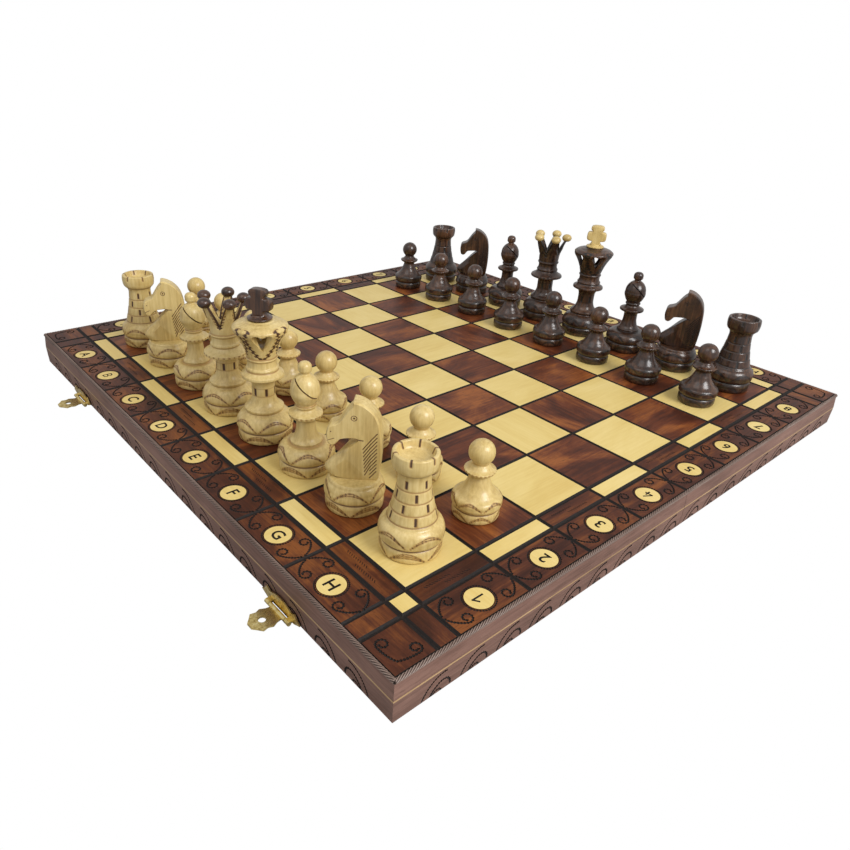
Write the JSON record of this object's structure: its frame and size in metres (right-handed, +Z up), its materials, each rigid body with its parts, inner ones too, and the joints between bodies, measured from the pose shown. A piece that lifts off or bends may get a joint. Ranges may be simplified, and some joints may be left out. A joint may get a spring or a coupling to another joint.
{
  "type": "folding chess set with board",
  "caption": "Folding wooden chess board with inlaid squares, lettered border and brass latches, with carved chessmen standing on their starting squares.",
  "frame": {"origin": "middle of the footprint, hasps included, on the surface the board stands on; the fold is at y = 8.3 mm", "axes": "+Z up, +X from the a file to the h file, +Y from white's first rank to black's eighth rank"},
  "size_m": [0.52, 0.5452, 0.1416],
  "materials": {
    "stained_wood": "stained and burnt, satin lacquer",
    "pale_wood": "clear satin lacquer",
    "dark_wood": "dark stain, glossy lacquer",
    "brass": "polished",
    "felt": "matt"
  },
  "bodies": {
    "white_half": {"panel_white": "stained_wood", "rail_white_left": "stained_wood", "rail_white_right": "stained_wood", "rail_white_outer": "stained_wood", "rail_white_middle": "stained_wood", "felt_white": "felt", "hinge_leaf_white_left": "brass", "hinge_leaf_white_right": "brass", "hinge_pin_left": "brass", "hinge_pin_right": "brass", "latch_plate_left": "brass", "latch_plate_right": "brass"},
    "black_half": {"panel_black": "stained_wood", "rail_black_left": "stained_wood", "rail_black_right": "stained_wood", "rail_black_outer": "stained_wood", "rail_black_middle": "stained_wood", "felt_black": "felt", "hinge_leaf_black_left": "brass", "hinge_leaf_black_right": "brass", "catch_left": "brass", "catch_right": "brass"},
    "hasp_left": {"hasp_left": "brass"},
    "hasp_right": {"hasp_right": "brass"},
    "white_rook_a1": {"white_rook_a1": "pale_wood"},
    "white_pawn_a2": {"white_pawn_a2": "pale_wood"},
    "white_knight_b1": {"white_knight_b1": "pale_wood"},
    "white_pawn_b2": {"white_pawn_b2": "pale_wood"},
    "white_bishop_c1": {"white_bishop_c1": "pale_wood"},
    "white_pawn_c2": {"white_pawn_c2": "pale_wood"},
    "white_queen_d1": {"white_queen_d1": "pale_wood"},
    "white_pawn_d2": {"white_pawn_d2": "pale_wood"},
    "white_king_e1": {"white_king_e1": "pale_wood", "white_king_cross": "dark_wood"},
    "white_pawn_e2": {"white_pawn_e2": "pale_wood"},
    "white_bishop_f1": {"white_bishop_f1": "pale_wood"},
    "white_pawn_f2": {"white_pawn_f2": "pale_wood"},
    "white_knight_g1": {"white_knight_g1": "pale_wood"},
    "white_pawn_g2": {"white_pawn_g2": "pale_wood"},
    "white_rook_h1": {"white_rook_h1": "pale_wood"},
    "white_pawn_h2": {"white_pawn_h2": "pale_wood"},
    "black_rook_a8": {"black_rook_a8": "dark_wood"},
    "black_pawn_a7": {"black_pawn_a7": "dark_wood"},
    "black_knight_b8": {"black_knight_b8": "dark_wood"},
    "black_pawn_b7": {"black_pawn_b7": "dark_wood"},
    "black_bishop_c8": {"black_bishop_c8": "dark_wood"},
    "black_pawn_c7": {"black_pawn_c7": "dark_wood"},
    "black_queen_d8": {"black_queen_d8": "dark_wood"},
    "black_pawn_d7": {"black_pawn_d7": "dark_wood"},
    "black_king_e8": {"black_king_e8": "dark_wood", "black_king_cross": "pale_wood"},
    "black_pawn_e7": {"black_pawn_e7": "dark_wood"},
    "black_bishop_f8": {"black_bishop_f8": "dark_wood"},
    "black_pawn_f7": {"black_pawn_f7": "dark_wood"},
    "black_knight_g8": {"black_knight_g8": "dark_wood"},
    "black_pawn_g7": {"black_pawn_g7": "dark_wood"},
    "black_rook_h8": {"black_rook_h8": "dark_wood"},
    "black_pawn_h7": {"black_pawn_h7": "dark_wood"}
  },
  "joints": [
    {"name": "fold", "type": "hinge", "parent": "white_half", "child": "black_half", "pos_m": [0, 0.0083, 0.00135], "axis": [-1, 0, 0], "range_deg": [0, 180]},
    {"name": "hasp_left_swing", "type": "hinge", "parent": "white_half", "child": "hasp_left", "pos_m": [-0.162, -0.2546, 0.0022], "axis": [1, 0, 0], "range_deg": [-80, 90]},
    {"name": "hasp_right_swing", "type": "hinge", "parent": "white_half", "child": "hasp_right", "pos_m": [0.162, -0.2546, 0.0022], "axis": [1, 0, 0], "range_deg": [-80, 90]},
    {"name": "lift_white_rook_a1", "type": "slide", "parent": "white_half", "child": "white_rook_a1", "axis": [0, 0, 1], "range_m": [0, 0.15]},
    {"name": "lift_white_pawn_a2", "type": "slide", "parent": "white_half", "child": "white_pawn_a2", "axis": [0, 0, 1], "range_m": [0, 0.15]},
    {"name": "lift_white_knight_b1", "type": "slide", "parent": "white_half", "child": "white_knight_b1", "axis": [0, 0, 1], "range_m": [0, 0.15]},
    {"name": "lift_white_pawn_b2", "type": "slide", "parent": "white_half", "child": "white_pawn_b2", "axis": [0, 0, 1], "range_m": [0, 0.15]},
    {"name": "lift_white_bishop_c1", "type": "slide", "parent": "white_half", "child": "white_bishop_c1", "axis": [0, 0, 1], "range_m": [0, 0.15]},
    {"name": "lift_white_pawn_c2", "type": "slide", "parent": "white_half", "child": "white_pawn_c2", "axis": [0, 0, 1], "range_m": [0, 0.15]},
    {"name": "lift_white_queen_d1", "type": "slide", "parent": "white_half", "child": "white_queen_d1", "axis": [0, 0, 1], "range_m": [0, 0.15]},
    {"name": "lift_white_pawn_d2", "type": "slide", "parent": "white_half", "child": "white_pawn_d2", "axis": [0, 0, 1], "range_m": [0, 0.15]},
    {"name": "lift_white_king_e1", "type": "slide", "parent": "white_half", "child": "white_king_e1", "axis": [0, 0, 1], "range_m": [0, 0.15]},
    {"name": "lift_white_pawn_e2", "type": "slide", "parent": "white_half", "child": "white_pawn_e2", "axis": [0, 0, 1], "range_m": [0, 0.15]},
    {"name": "lift_white_bishop_f1", "type": "slide", "parent": "white_half", "child": "white_bishop_f1", "axis": [0, 0, 1], "range_m": [0, 0.15]},
    {"name": "lift_white_pawn_f2", "type": "slide", "parent": "white_half", "child": "white_pawn_f2", "axis": [0, 0, 1], "range_m": [0, 0.15]},
    {"name": "lift_white_knight_g1", "type": "slide", "parent": "white_half", "child": "white_knight_g1", "axis": [0, 0, 1], "range_m": [0, 0.15]},
    {"name": "lift_white_pawn_g2", "type": "slide", "parent": "white_half", "child": "white_pawn_g2", "axis": [0, 0, 1], "range_m": [0, 0.15]},
    {"name": "lift_white_rook_h1", "type": "slide", "parent": "white_half", "child": "white_rook_h1", "axis": [0, 0, 1], "range_m": [0, 0.15]},
    {"name": "lift_white_pawn_h2", "type": "slide", "parent": "white_half", "child": "white_pawn_h2", "axis": [0, 0, 1], "range_m": [0, 0.15]},
    {"name": "lift_black_rook_a8", "type": "slide", "parent": "black_half", "child": "black_rook_a8", "axis": [0, 0, 1], "range_m": [0, 0.15]},
    {"name": "lift_black_pawn_a7", "type": "slide", "parent": "black_half", "child": "black_pawn_a7", "axis": [0, 0, 1], "range_m": [0, 0.15]},
    {"name": "lift_black_knight_b8", "type": "slide", "parent": "black_half", "child": "black_knight_b8", "axis": [0, 0, 1], "range_m": [0, 0.15]},
    {"name": "lift_black_pawn_b7", "type": "slide", "parent": "black_half", "child": "black_pawn_b7", "axis": [0, 0, 1], "range_m": [0, 0.15]},
    {"name": "lift_black_bishop_c8", "type": "slide", "parent": "black_half", "child": "black_bishop_c8", "axis": [0, 0, 1], "range_m": [0, 0.15]},
    {"name": "lift_black_pawn_c7", "type": "slide", "parent": "black_half", "child": "black_pawn_c7", "axis": [0, 0, 1], "range_m": [0, 0.15]},
    {"name": "lift_black_queen_d8", "type": "slide", "parent": "black_half", "child": "black_queen_d8", "axis": [0, 0, 1], "range_m": [0, 0.15]},
    {"name": "lift_black_pawn_d7", "type": "slide", "parent": "black_half", "child": "black_pawn_d7", "axis": [0, 0, 1], "range_m": [0, 0.15]},
    {"name": "lift_black_king_e8", "type": "slide", "parent": "black_half", "child": "black_king_e8", "axis": [0, 0, 1], "range_m": [0, 0.15]},
    {"name": "lift_black_pawn_e7", "type": "slide", "parent": "black_half", "child": "black_pawn_e7", "axis": [0, 0, 1], "range_m": [0, 0.15]},
    {"name": "lift_black_bishop_f8", "type": "slide", "parent": "black_half", "child": "black_bishop_f8", "axis": [0, 0, 1], "range_m": [0, 0.15]},
    {"name": "lift_black_pawn_f7", "type": "slide", "parent": "black_half", "child": "black_pawn_f7", "axis": [0, 0, 1], "range_m": [0, 0.15]},
    {"name": "lift_black_knight_g8", "type": "slide", "parent": "black_half", "child": "black_knight_g8", "axis": [0, 0, 1], "range_m": [0, 0.15]},
    {"name": "lift_black_pawn_g7", "type": "slide", "parent": "black_half", "child": "black_pawn_g7", "axis": [0, 0, 1], "range_m": [0, 0.15]},
    {"name": "lift_black_rook_h8", "type": "slide", "parent": "black_half", "child": "black_rook_h8", "axis": [0, 0, 1], "range_m": [0, 0.15]},
    {"name": "lift_black_pawn_h7", "type": "slide", "parent": "black_half", "child": "black_pawn_h7", "axis": [0, 0, 1], "range_m": [0, 0.15]}
  ]
}
